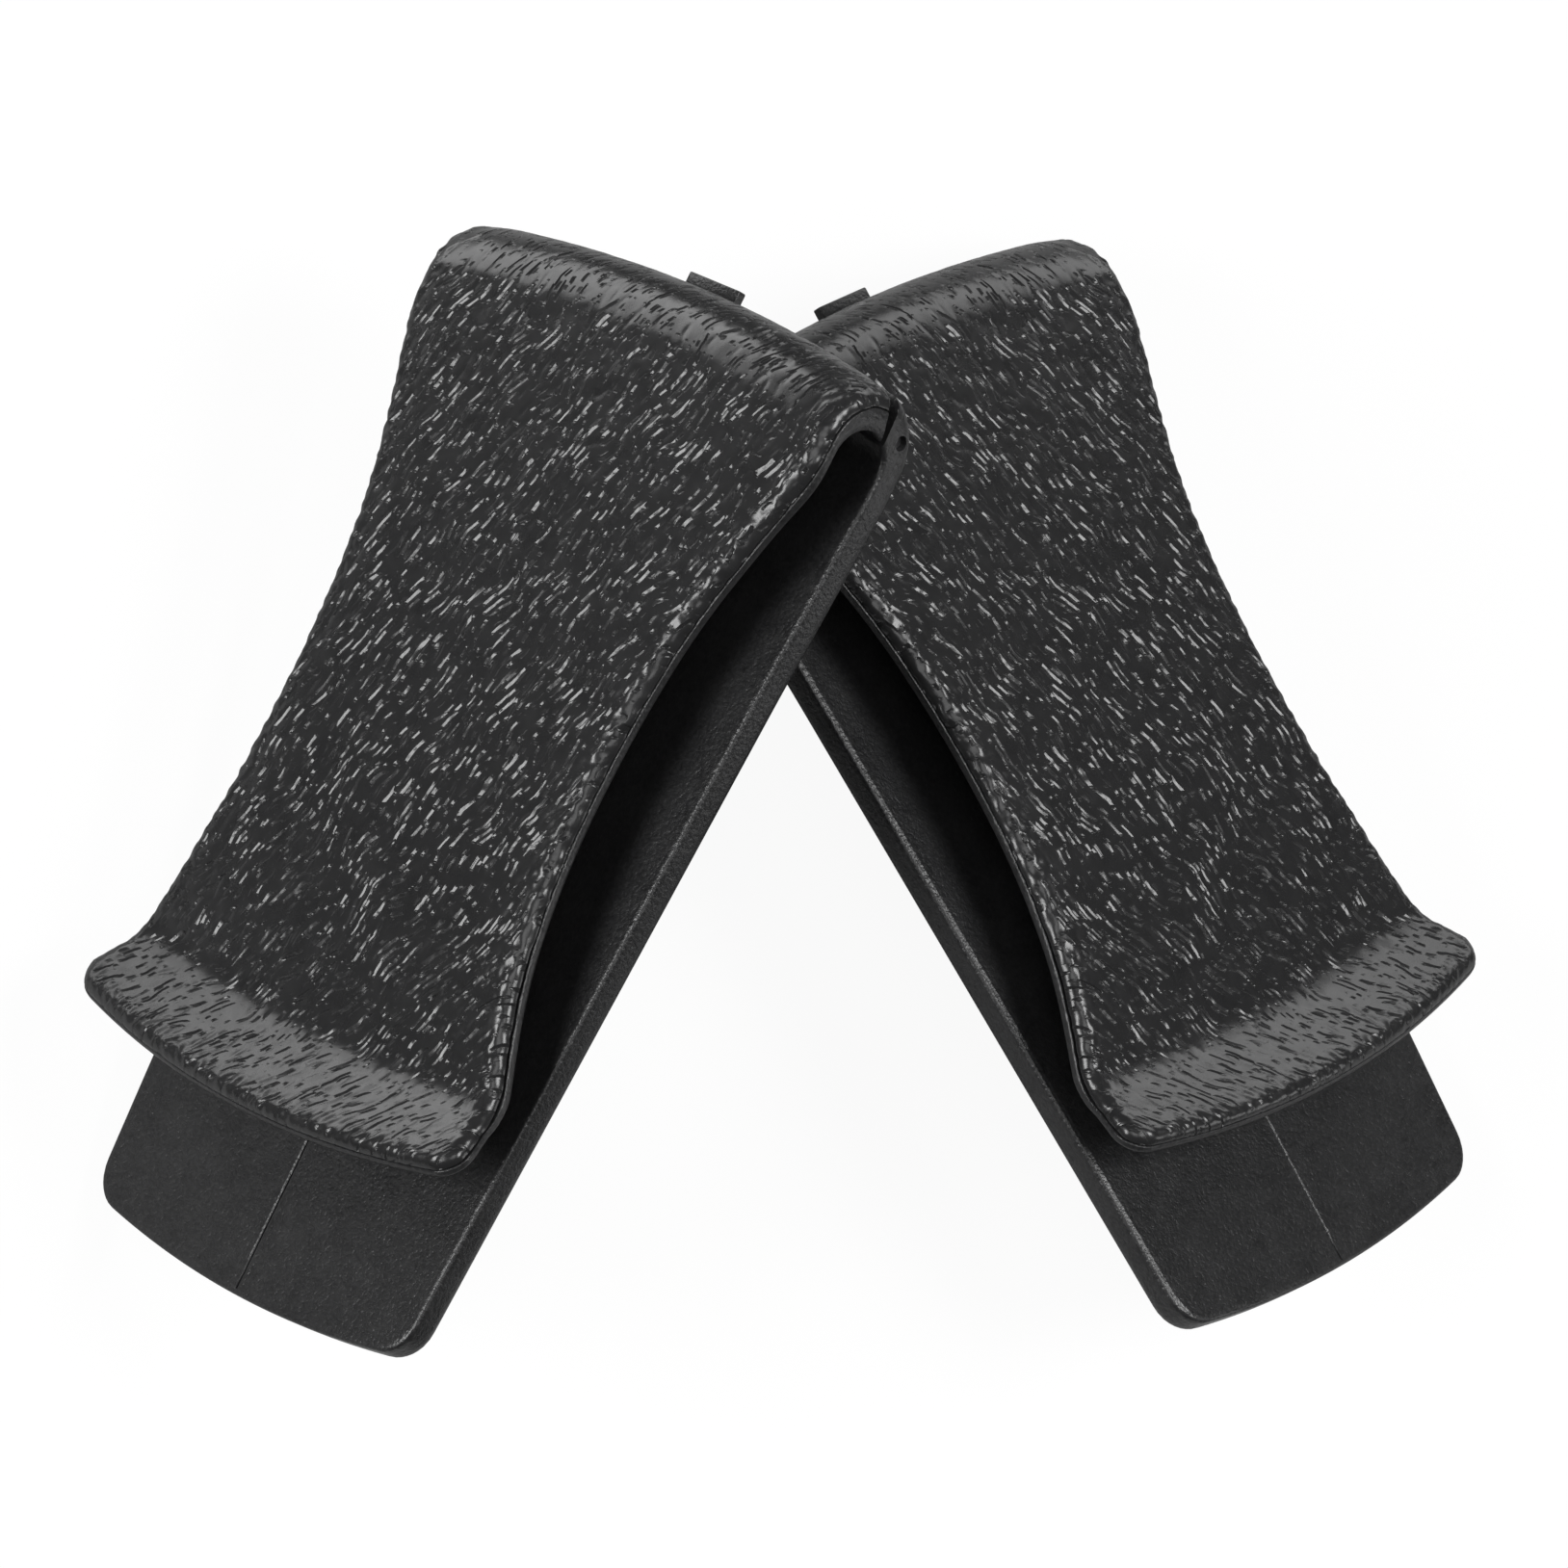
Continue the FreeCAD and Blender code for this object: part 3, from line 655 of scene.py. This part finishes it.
def prism_verts(outline, low, high):
    """A (y, z) outline drawn out along X from low to high."""
    count = len(outline)
    verts = [(low, *p) for p in outline] + [(high, *p) for p in outline]
    faces = [[k, (k + 1) % count, count + (k + 1) % count, count + k] for k in range(count)]
    faces += [list(range(count))[::-1], [count + k for k in range(count)]]
    return verts, faces


def rod_verts(y, z, radius, low, high, sides=32):
    angles = np.arange(sides) * 2 * math.pi / sides
    ring = np.stack([y + radius * np.cos(angles), z + radius * np.sin(angles)], axis=1)
    return prism_verts(ring, low, high)


def combine(obj, tools, operation):
    """Boolean obj with each (verts, faces, matrix) tool and keep the result as its mesh."""
    for verts, faces, matrix in tools:
        tool = new_object("tool", verts, faces, matrix)
        bm = bmesh.new()
        bm.from_mesh(tool.data)
        bmesh.ops.recalc_face_normals(bm, faces=bm.faces)
        bm.to_mesh(tool.data)
        bm.free()
        modifier = obj.modifiers.new("combine", "BOOLEAN")
        modifier.operation = operation
        modifier.object = tool
        modifier.solver = "EXACT"
        graph = bpy.context.evaluated_depsgraph_get()
        mesh = bpy.data.meshes.new_from_object(obj.evaluated_get(graph))
        obj.modifiers.clear()
        old, obj.data = obj.data, mesh
        mesh.name = obj.name
        bpy.data.meshes.remove(old)
        bpy.data.objects.remove(tool)


# ---------------------------------------------------------------------------
# Materials
# ---------------------------------------------------------------------------

PLASTIC_IOR = 1.49


class Nodes:
    """A material's node tree, with short calls to add and join nodes."""

    def __init__(self, name):
        self.material = bpy.data.materials.new(name)
        self.material.use_nodes = True
        self.tree = self.material.node_tree
        self.shader = self.tree.nodes["Principled BSDF"]
        self.place = self.add("ShaderNodeTexCoord").outputs["Object"]

    def add(self, kind, **values):
        node = self.tree.nodes.new(kind)
        for key, value in values.items():
            setattr(node, key, value)
        return node

    def link(self, source, target):
        self.tree.links.new(source, target)

    def noise(self, scale, detail=2.0, rough=0.5, place=None, output="Fac"):
        node = self.add("ShaderNodeTexNoise")
        node.inputs["Scale"].default_value = scale
        node.inputs["Detail"].default_value = detail
        node.inputs["Roughness"].default_value = rough
        self.link(place or self.place, node.inputs["Vector"])
        return node.outputs[output]

    def math(self, operation, *values, clamp=False):
        node = self.add("ShaderNodeMath", operation=operation, use_clamp=clamp)
        for socket, value in zip(node.inputs, values):
            if isinstance(value, (int, float)):
                socket.default_value = value
            else:
                self.link(value, socket)
        return node.outputs[0]

    def split(self, vector):
        node = self.add("ShaderNodeSeparateXYZ")
        self.link(vector, node.inputs[0])
        return node.outputs

    def join(self, x, y):
        node = self.add("ShaderNodeCombineXYZ")
        self.link(x, node.inputs[0])
        self.link(y, node.inputs[1])
        return node.outputs[0]

    def vector(self, operation, a, b):
        node = self.add("ShaderNodeVectorMath", operation=operation)
        for socket, value in zip(node.inputs, (a, b)):
            if isinstance(value, tuple):
                socket.default_value = value
            else:
                self.link(value, socket)
        return node.outputs[0]

    def ramp(self, source, low, high, start=0.3, stop=0.7):
        node = self.add("ShaderNodeValToRGB")
        first, second = node.color_ramp.elements
        first.position, second.position = start, stop
        first.color, second.color = (*low, 1), (*high, 1)
        self.link(source, node.inputs["Fac"])
        return node.outputs["Color"]

    def span(self, source, low, high, start=0.3, stop=0.7):
        node = self.add("ShaderNodeMapRange")
        for key, value in (("From Min", start), ("From Max", stop), ("To Min", low), ("To Max", high)):
            node.inputs[key].default_value = value
        self.link(source, node.inputs["Value"])
        return node.outputs["Result"]

    def bump(self, source, strength, distance, below=None):
        node = self.add("ShaderNodeBump")
        node.inputs["Strength"].default_value = strength
        node.inputs["Distance"].default_value = distance
        self.link(source, node.inputs["Height"])
        if below is not None:
            self.link(below, node.inputs["Normal"])
        return node.outputs["Normal"]


def plastic(name, dark, light, rough, blotch, speck, speck_height):
    """Moulded plastic with soft blotches and fine specks."""
    n = Nodes(name)
    mottle = n.math("ADD", n.math("MULTIPLY", n.noise(blotch, 4.0, 0.6), 0.35),
                    n.math("MULTIPLY", n.noise(speck, 2.0, 0.6), 0.65))
    n.link(n.ramp(mottle, dark, light), n.shader.inputs["Base Color"])
    n.link(n.span(n.noise(blotch * 2.7, 3.0, 0.6), *rough), n.shader.inputs["Roughness"])
    n.shader.inputs["IOR"].default_value = PLASTIC_IOR
    coarse = n.bump(n.noise(speck, 2.0, 0.55), 1.0, speck_height)
    fine = n.bump(n.noise(speck * 3.1, 1.0, 0.5), 0.6, speck_height * 0.3, coarse)
    n.link(fine, n.shader.inputs["Normal"])
    return n.material


# Strokes of the fine grain: half widths and walls across, taper of the ends, and depth on the lip
STROKE_LOW, STROKE_HIGH = 0.14, 0.15
GENTLE_WALL, STEEP_WALL = 0.23, 0.06
STROKE_TAPER = 0.16
LIP_DEPTH = 0.6
LIP_FADE = (LIP_START + 8, LIP_START + 11)


def strokes(n, flat, shift, pitch, lengths, depths):
    """Depth in mm of short pressed strokes, one in each cell of a stretched random pattern.

    Each stroke falls gently along +x and climbs back steeply, so one long wall takes the light.
    """
    warped = flat
    for scale, swing in ((0.16, (3.4, 2.0, 0)), (0.9, (0.34, 0.3, 0))):
        noise = n.vector("SUBTRACT", n.noise(scale, 1.0, 0.5, flat, "Color"), (0.5, 0.5, 0.5))
        warped = n.vector("ADD", warped, n.vector("MULTIPLY", noise, swing))
    x, s, _ = n.split(warped)
    lip = n.math("MULTIPLY", n.math("MAXIMUM", n.math("SUBTRACT", s, LIP_START), 0.0), LIP_LEAN)
    x = n.math("ADD", n.math("ADD", x, n.math("MULTIPLY", s, STROKE_LEAN)), lip)
    cell = n.vector("ADD", n.vector("DIVIDE", n.join(x, s), (*pitch, 1)), (shift, shift * 0.7, 0))
    voronoi = n.add("ShaderNodeTexVoronoi", voronoi_dimensions="2D", feature="F1")
    voronoi.inputs["Scale"].default_value = 1.0
    n.link(cell, voronoi.inputs["Vector"])
    away = n.vector("MULTIPLY", n.vector("SUBTRACT", cell, voronoi.outputs["Position"]), (*pitch, 0))
    across, along, _ = n.split(away)
    first, second, third = n.split(voronoi.outputs["Color"])
    across = n.math("DIVIDE", across, n.span(third, 0.75, 1.25, 0, 1))
    reach = n.span(n.math("MULTIPLY", first, first), *lengths, 0, 1)
    left = n.math("SUBTRACT", reach, n.math("ABSOLUTE", along))
    ends = n.math("DIVIDE", left, STROKE_TAPER, clamp=True)
    gentle = n.math("DIVIDE", n.math("ADD", across, STROKE_LOW), GENTLE_WALL)
    steep = n.math("DIVIDE", n.math("SUBTRACT", STROKE_HIGH, across), STEEP_WALL)
    groove = n.math("MINIMUM", n.math("MINIMUM", gentle, steep), 1.0, clamp=True)
    depth = n.math("MULTIPLY", n.span(second, *depths, 0, 1), n.span(s, 1.0, LIP_DEPTH, *LIP_FADE))
    return n.math("MULTIPLY", n.math("MULTIPLY", groove, ends), depth)


def grained(name):
    """Satin black plastic with a pressed leather grain."""
    n = Nodes(name)
    tone = n.ramp(n.noise(420, 4.0, 0.6), (0.015, 0.015, 0.0155), (0.021, 0.021, 0.0215))
    n.link(tone, n.shader.inputs["Base Color"])
    n.link(n.span(n.noise(1130, 3.0, 0.6), 0.22, 0.28), n.shader.inputs["Roughness"])
    n.shader.inputs["IOR"].default_value = PLASTIC_IOR
    flat = n.add("ShaderNodeAttribute", attribute_name="flat_place").outputs["Vector"]
    long = strokes(n, flat, shift=3.7, pitch=(0.66, 1.85), lengths=(0.2, 1.05), depths=(0.045, 0.125))
    short = strokes(n, flat, shift=31.3, pitch=(0.66, 1.1), lengths=(0.08, 0.5), depths=(0.0, 0.06))
    fine = n.bump(n.noise(5200, 2.0, 0.55), 1.0, 0.000004)
    raised = n.math("MULTIPLY", n.math("ADD", long, short), -1.0)
    n.link(n.bump(raised, 1.0, MM, fine), n.shader.inputs["Normal"])
    return n.material


def metal(name, dark, light, rough, scale):
    n = Nodes(name)
    n.shader.inputs["Metallic"].default_value = 1.0
    n.link(n.ramp(n.noise(scale, 3.0, 0.6), dark, light), n.shader.inputs["Base Color"])
    n.link(n.span(n.noise(scale * 2, 2.0, 0.6), *rough), n.shader.inputs["Roughness"])
    n.link(n.bump(n.noise(scale * 5, 2.0, 0.6), 0.4, 0.000004), n.shader.inputs["Normal"])
    return n.material


GRAINED = grained("grained_plastic")
SMOOTH = plastic(
    "smooth_plastic", dark=(0.007, 0.007, 0.0075), light=(0.024, 0.024, 0.0245), rough=(0.30, 0.38),
    blotch=260, speck=3300, speck_height=0.00006
)
STEEL = metal(
    "pin_steel", dark=(0.10, 0.10, 0.105), light=(0.2, 0.2, 0.205), rough=(0.35, 0.5), scale=900
)
SPRING = metal(
    "spring_steel", dark=(0.12, 0.12, 0.13), light=(0.22, 0.22, 0.23), rough=(0.3, 0.42), scale=600
)


# ---------------------------------------------------------------------------
# Build both clips
# ---------------------------------------------------------------------------

LUG_X = 10.5
LUG_WIDTH = 4.6
LUG_R = 0.9
LUG_WEB = 0.45
SWING = 0.3
PIN_FIT_R = 0.53
TAB_WIDTH = 4.9
TAB_THICK = 0.8
TAB_TOP = CLIP_HEIGHT + 0.9
TAB_FOOT = CLIP_HEIGHT - 0.45
TAB_BEVEL = 0.12
BORE_HALF = 22
SHARP_DEG = 40


def lug_tools(matrix):
    """The liner's two eyes and webs, which reach back to the pin."""
    root = PIN_Z + LUG_WEB + LUG_R * 0.85
    web = [(PIN_Y - LUG_WEB, PIN_Z - LUG_WEB * 1.5), (PIN_Y, PIN_Z + LUG_R),
           (SEAM_Y, root + LUG_WEB), (SEAM_Y, root - LUG_WEB)]
    tools = []
    for hand in (-1, 1):
        low, high = LUG_X * hand - LUG_WIDTH / 2, LUG_X * hand + LUG_WIDTH / 2
        tools.append((*prism_verts(web, low, high), matrix))
        tools.append((*rod_verts(PIN_Y, PIN_Z, LUG_R, low, high), matrix))
    return tools


def notch_tools(matrix):
    """Room in the knuckle for the lugs and their swing."""
    reach = LUG_R + SWING
    rise = LUG_WEB * 2 + LUG_R + SWING * 1.2
    channel = [(PIN_Y, PIN_Z - reach), (PIN_Y, PIN_Z + reach),
               (SEAM_Y, PIN_Z + rise), (SEAM_Y, PIN_Z - reach)]
    tools = []
    for hand in (-1, 1):
        half = LUG_WIDTH / 2 + SWING
        low, high = LUG_X * hand - half, LUG_X * hand + half
        tools.append((*prism_verts(channel, low, high), matrix))
        tools.append((*rod_verts(PIN_Y, PIN_Z, reach, low, high), matrix))
    return tools


def build_clip(side):
    """Cover, liner and rear plate of one clip. The right cover is the left one's mirror image."""
    matrix = clip_place(side)
    hand = 1 if side == "left" else -1
    mirror = Matrix.Diagonal((hand, 1, 1, 1))
    verts, faces, flats = shell(cover_form())
    if hand < 0:
        faces = [face[::-1] for face in faces]
    cover = new_object(side + "_cover_skin", verts, faces, matrix @ mirror)
    smooth_shade(cover)
    flat_place = cover.data.attributes.new("flat_place", "FLOAT_VECTOR", "POINT")
    flat_place.data.foreach_set("vector", np.c_[flats, np.zeros(len(flats))].ravel())
    cover.data.materials.append(GRAINED)

    verts, faces, _ = shell(liner_form())
    liner = new_object(side + "_liner_shell", verts, faces, matrix)
    combine(liner, lug_tools(matrix), "UNION")
    smooth_shade(liner, SHARP_DEG)

    verts, faces, _ = shell(plate_form())
    plate = new_object(side + "_plate_shell", verts, faces, matrix)
    bore = rod_verts(PIN_Y, PIN_Z, PIN_FIT_R, -BORE_HALF, BORE_HALF)
    combine(plate, notch_tools(matrix) + [(*bore, matrix)], "DIFFERENCE")
    tab_low = (-TAB_WIDTH / 2, NOSE_Y, TAB_FOOT)
    tab_high = (TAB_WIDTH / 2, NOSE_Y + TAB_THICK, TAB_TOP)
    combine(plate, [(*box_verts(tab_low, tab_high, TAB_BEVEL), matrix)], "UNION")
    smooth_shade(plate, SHARP_DEG)
    for obj in (liner, plate):
        obj.data.materials.clear()
        obj.data.materials.append(SMOOTH)

    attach(cover, side + "_arm")
    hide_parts(side + "_grained_cover")
    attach(liner, side + "_arm")
    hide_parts(side + "_front_liner")
    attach(plate, "clip_plates")
    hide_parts(side + "_rear_plate")
    for node, material in ((side + "_hinge_pin", STEEL), (side + "_leaf_spring", SPRING)):
        data = frame["nodes"][node].data
        data.materials.clear()
        data.materials.append(material)


for side in ("left", "right"):
    build_clip(side)


# ---------------------------------------------------------------------------
# Floor, light and camera
# ---------------------------------------------------------------------------

FLOOR_ALBEDO = 0.42
FLOOR_ROUGH = 0.9
FLOOR_SHINE = 0.1
GLOW = 1.10
GLOW_SHARE = 0.85
APRON_HALF = 0.6
APRON_Z = -0.00005
WORLD_LEVEL = 0.05


def ground(name, low, high, height, material):
    mesh = bpy.data.meshes.new(name)
    corners = [(low[0], low[1]), (high[0], low[1]), (high[0], high[1]), (low[0], high[1])]
    mesh.from_pydata([(x, y, height) for x, y in corners], [], [(0, 1, 2, 3)])
    obj = bpy.data.objects.new(name, mesh)
    bpy.context.scene.collection.objects.link(obj)
    mesh.materials.append(material)
    return obj


def floor():
    """A pale floor under the clips, and a wide apron round it that only the camera sees.

    The floor ends close behind the clips, so the low lights there reach the lips. For the
    camera most of its colour is its own glow, so it's white and keeps a part of the shadow.
    """
    material = bpy.data.materials.new("white_floor")
    material.use_nodes = True
    tree = material.node_tree
    shader = tree.nodes["Principled BSDF"]
    shader.inputs["Base Color"].default_value = (FLOOR_ALBEDO, FLOOR_ALBEDO, FLOOR_ALBEDO, 1)
    shader.inputs["Roughness"].default_value = FLOOR_ROUGH
    shader.inputs["Specular IOR Level"].default_value = FLOOR_SHINE
    glow = tree.nodes.new("ShaderNodeEmission")
    glow.inputs["Strength"].default_value = GLOW
    path = tree.nodes.new("ShaderNodeLightPath")
    share = tree.nodes.new("ShaderNodeMath")
    share.operation = "MULTIPLY"
    share.inputs[1].default_value = GLOW_SHARE
    tree.links.new(path.outputs["Is Camera Ray"], share.inputs[0])
    mix = tree.nodes.new("ShaderNodeMixShader")
    tree.links.new(share.outputs[0], mix.inputs["Fac"])
    tree.links.new(shader.outputs["BSDF"], mix.inputs[1])
    tree.links.new(glow.outputs["Emission"], mix.inputs[2])
    tree.links.new(mix.outputs["Shader"], tree.nodes["Material Output"].inputs["Surface"])
    ground("floor", (-0.11, -0.11), (0.11, 0.075), 0.0, material)
    apron = ground("apron", (-APRON_HALF, -APRON_HALF), (APRON_HALF, APRON_HALF), APRON_Z, material)
    apron.visible_diffuse = apron.visible_glossy = apron.visible_shadow = False


def softbox(name, azimuth, elevation, distance, size, radiance, target=(0, 0, 0.02)):
    """An area light, by its bearing from +Y towards +X, its elevation and its surface radiance."""
    width, height = size
    a, e = math.radians(azimuth), math.radians(elevation)
    away = Vector((math.sin(a) * math.cos(e), math.cos(a) * math.cos(e), math.sin(e)))
    light = bpy.data.lights.new(name, "AREA")
    light.shape = "RECTANGLE"
    light.size, light.size_y = width, height
    light.energy = radiance * math.pi * width * height
    obj = bpy.data.objects.new(name, light)
    obj.location = Vector(target) + away * distance
    obj.rotation_euler = away.to_track_quat("Z", "Y").to_euler()
    obj.visible_camera = False
    bpy.context.scene.collection.objects.link(obj)


def world():
    """A dim even light, and plain white behind everything for the camera."""
    scene = bpy.context.scene
    scene.world = bpy.data.worlds.new("studio")
    scene.world.use_nodes = True
    tree = scene.world.node_tree
    dim = tree.nodes["Background"]
    dim.inputs["Color"].default_value = (1, 1, 1, 1)
    dim.inputs["Strength"].default_value = WORLD_LEVEL
    white = tree.nodes.new("ShaderNodeBackground")
    white.inputs["Strength"].default_value = 1.0
    path = tree.nodes.new("ShaderNodeLightPath")
    mix = tree.nodes.new("ShaderNodeMixShader")
    tree.links.new(path.outputs["Is Camera Ray"], mix.inputs["Fac"])
    tree.links.new(dim.outputs["Background"], mix.inputs[1])
    tree.links.new(white.outputs["Background"], mix.inputs[2])
    tree.links.new(mix.outputs["Shader"], tree.nodes["World Output"].inputs["Surface"])


LENS = 221.1
EYE = (-0.13099, -0.11515, 0.64871)
LOOK = (0.1958, 0.1746, -0.965)
UP = (-0.0337, 0.9846, 0.1713)


def camera():
    """The camera that was fitted to the photograph."""
    scene = bpy.context.scene
    data = bpy.data.cameras.new("camera")
    data.sensor_width = 36.0
    data.lens = LENS
    data.clip_start, data.clip_end = 0.01, 10
    obj = bpy.data.objects.new("camera", data)
    look = Vector(LOOK).normalized()
    right = look.cross(Vector(UP)).normalized()
    up = right.cross(look)
    turn = Matrix((right, up, -look)).transposed().to_4x4()
    obj.matrix_world = Matrix.Translation(EYE) @ turn
    scene.collection.objects.link(obj)
    scene.camera = obj


floor()
softbox("right_lip_light", azimuth=30, elevation=2, distance=0.45, size=(0.36, 0.17), radiance=2.6)
softbox("left_lip_light", azimuth=-31, elevation=-6, distance=0.42, size=(0.34, 0.16), radiance=3.7)
softbox("left_light", azimuth=-96, elevation=32, distance=0.8, size=(0.42, 0.30), radiance=13.0)
softbox("right_light", azimuth=90, elevation=53, distance=0.8, size=(0.36, 0.30), radiance=13.0)
softbox("top_light", azimuth=200, elevation=80, distance=1.1, size=(0.55, 0.55), radiance=2.5)
softbox("knuckle_light", azimuth=112, elevation=3, distance=0.30, size=(0.07, 0.09), radiance=3.0,
        target=(0.003, 0.019, 0.042))
world()
camera()
bpy.context.scene.view_settings.view_transform = "Standard"
